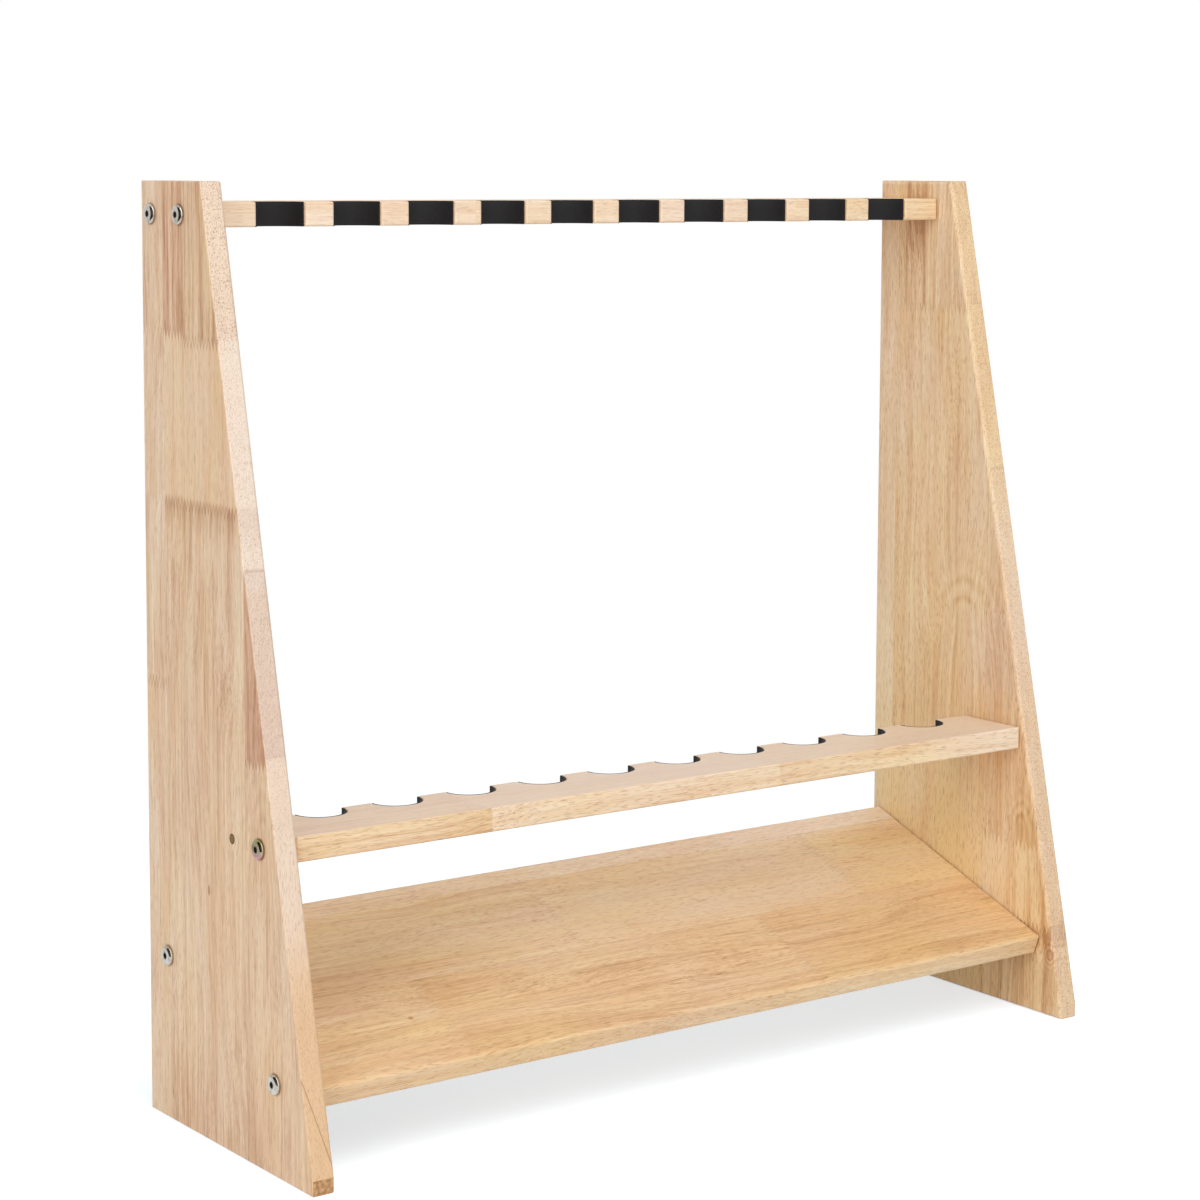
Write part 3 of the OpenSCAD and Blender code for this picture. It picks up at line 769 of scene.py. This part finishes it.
def foam_liners():
    """One liner is modelled in the first notch of the top bar and copied to all the notches."""
    material = foam()

    def middle(node):
        low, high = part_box(node)
        return (Vector(low) + Vector(high)) / 2

    low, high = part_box("top_pad_01")
    start = middle("top_pad_01")
    pattern = foam_liner((start.x, low[1] + PAD_NECK), low[2], high[2])
    for bar, turn in (("top", 0), ("mid", math.pi)):
        for number in range(1, 11):
            node = f"{bar}_pad_{number:02d}"
            bpy.ops.object.select_all(action="DESELECT")
            pattern.select_set(True)
            bpy.context.view_layer.objects.active = pattern
            bpy.ops.object.duplicate(linked=False)
            copy = bpy.context.object
            copy.matrix_world = (Matrix.Translation(middle(node)) @ Matrix.Rotation(turn, 4, "Z")
                                 @ Matrix.Translation(-start))
            bpy.ops.object.transform_apply(location=True, rotation=True, scale=True)
            settle(copy, node, material)
    bpy.data.objects.remove(pattern)


foam_liners()


# Light of the surroundings on the rack, the floor's own grey, and what it adds where
# the camera or a reflection sees it
WORLD_LIGHT = 0.42
FLOOR_PAINT = (0.82, 0.82, 0.82, 1.0)
FLOOR_GLOW = (0.48, 0.55, 0.605, 1.0)
WHITE = (1.0, 1.0, 1.0, 1.0)
# How far from the rack's middle the floor fades to plain white, from and to, in metres
FADE_START = 0.75
FADE_END = 1.2

# Dark card: place and size in metres, turn about the upright in degrees
CARD_PLACE = (-1.0, -0.14, 0.94)
CARD_SIZE = (1.85, 1.85, 1.86)
CARD_TURN = -78
CARD_BLACKS = ((0.01, 0.01, 0.01, 1.0), (0.02, 0.02, 0.02, 1.0))

# The photograph's camera: yaw, pitch and roll in degrees, place in metres, lens and
# frame in millimetres, and the frame's shift as a share of its width
CAMERA_TURN = (36.21, -5.71, 0.22)
CAMERA_PLACE = (-1.2648, -1.6766, 0.6608)
LENS = 86.96
FRAME_WIDTH = 36.0
FRAME_SHIFT = -0.12


def lamp(name, place, target, size, watts):
    """A round soft lamp that points at the target."""
    light = bpy.data.lights.new(name, "AREA")
    light.shape = "DISK"
    light.size = size
    light.energy = watts
    obj = bpy.data.objects.new(name, light)
    bpy.context.scene.collection.objects.link(obj)
    obj.location = place
    obj.rotation_mode = "QUATERNION"
    obj.rotation_quaternion = (Vector(target) - Vector(place)).to_track_quat("-Z", "Y")


def studio():
    """Pale floor that keeps the rack's shadow, white surroundings, soft lamps."""
    bpy.ops.object.select_all(action="DESELECT")
    bpy.ops.mesh.primitive_plane_add(size=40, location=(0, 0, 0))
    floor = bpy.context.object
    floor.name = "studio_floor"
    f = Finish("floor_white")
    plain = f.tree.nodes.new("ShaderNodeBsdfDiffuse")
    plain.inputs["Color"].default_value = FLOOR_PAINT
    # Where the camera or a reflection sees it, the floor glows, and fades to plain white
    glow = f.tree.nodes.new("ShaderNodeEmission")
    glow.inputs["Color"].default_value = FLOOR_GLOW
    near = f.tree.nodes.new("ShaderNodeAddShader")
    f.feed(near.inputs[0], plain.outputs[0])
    f.feed(near.inputs[1], glow.outputs[0])
    white = f.tree.nodes.new("ShaderNodeEmission")
    white.inputs["Color"].default_value = WHITE
    away = f.add("ShaderNodeVectorMath", f.place(), out=1, operation="LENGTH")
    fade = f.tree.nodes.new("ShaderNodeMixShader")
    f.feed(fade.inputs[0], f.smooth(away, FADE_START, FADE_END))
    f.feed(fade.inputs[1], near.outputs[0])
    f.feed(fade.inputs[2], white.outputs[0])
    path = f.tree.nodes.new("ShaderNodeLightPath")
    choice = f.tree.nodes.new("ShaderNodeMixShader")
    f.feed(choice.inputs[0], f.math("MAXIMUM", path.outputs["Is Camera Ray"],
                                    path.outputs["Is Glossy Ray"]))
    f.feed(choice.inputs[1], plain.outputs[0])
    f.feed(choice.inputs[2], fade.outputs[0])
    out = f.tree.nodes.new("ShaderNodeOutputMaterial")
    f.feed(out.inputs[0], choice.outputs[0])
    floor.data.materials.append(f.material)

    world = bpy.data.worlds.new("studio_white")
    bpy.context.scene.world = world
    world.use_nodes = True
    tree = world.node_tree
    tree.nodes.clear()
    path = tree.nodes.new("ShaderNodeLightPath")
    seen = tree.nodes.new("ShaderNodeMath")
    seen.operation = "MAXIMUM"
    tree.links.new(path.outputs["Is Camera Ray"], seen.inputs[0])
    tree.links.new(path.outputs["Is Glossy Ray"], seen.inputs[1])
    strength = tree.nodes.new("ShaderNodeMapRange")
    strength.inputs["To Min"].default_value = WORLD_LIGHT
    strength.inputs["To Max"].default_value = 1.0
    tree.links.new(seen.outputs[0], strength.inputs[0])
    back = tree.nodes.new("ShaderNodeBackground")
    back.inputs["Color"].default_value = WHITE
    tree.links.new(strength.outputs[0], back.inputs["Strength"])
    out = tree.nodes.new("ShaderNodeOutputWorld")
    tree.links.new(back.outputs[0], out.inputs[0])

    middle = (0, 0, 0.25)
    lamp("key_above_front", (-0.1, -1.6, 2.7), middle, size=2.8, watts=39)
    lamp("front_wide", (-0.7, -3.4, 1.0), middle, size=2.6, watts=16)
    lamp("left_wide", (-3.0, -1.3, 1.2), middle, size=2.4, watts=35)
    dark_card()


def dark_card():
    """A black card that only reflections show, for the dark bands on the bolts' heads."""
    bpy.ops.object.select_all(action="DESELECT")
    bpy.ops.mesh.primitive_plane_add(size=1, location=CARD_PLACE,
                                     rotation=(math.radians(90), 0, math.radians(CARD_TURN)))
    card = bpy.context.object
    bpy.ops.transform.resize(value=CARD_SIZE)
    card.name = "studio_card"
    for ray in ("camera", "diffuse", "transmission", "shadow"):
        setattr(card, "visible_" + ray, False)
    f = Finish("card_black")
    grain = f.noise(f.place(), 2.0)
    card.data.materials.append(f.surface(f.mix(grain, *CARD_BLACKS), 0.9))


def camera():
    """At the photograph's viewing angle, with its frame shifted down a little."""
    yaw, pitch, roll = (math.radians(a) for a in CAMERA_TURN)
    ahead = Vector((math.sin(yaw) * math.cos(pitch), math.cos(yaw) * math.cos(pitch),
                    math.sin(pitch)))
    right = Vector((math.cos(yaw), -math.sin(yaw), 0))
    up = right.cross(ahead)
    turn = Matrix((right, up, -ahead)).transposed() @ Matrix.Rotation(roll, 3, "Z")
    data = bpy.data.cameras.new("camera")
    data.sensor_width = FRAME_WIDTH
    data.lens = LENS
    data.shift_y = FRAME_SHIFT
    obj = bpy.data.objects.new("camera", data)
    bpy.context.scene.collection.objects.link(obj)
    obj.matrix_world = Matrix.Translation(CAMERA_PLACE) @ turn.to_4x4()
    bpy.context.scene.camera = obj


camera()
studio()
bpy.context.scene.view_settings.view_transform = "Standard"
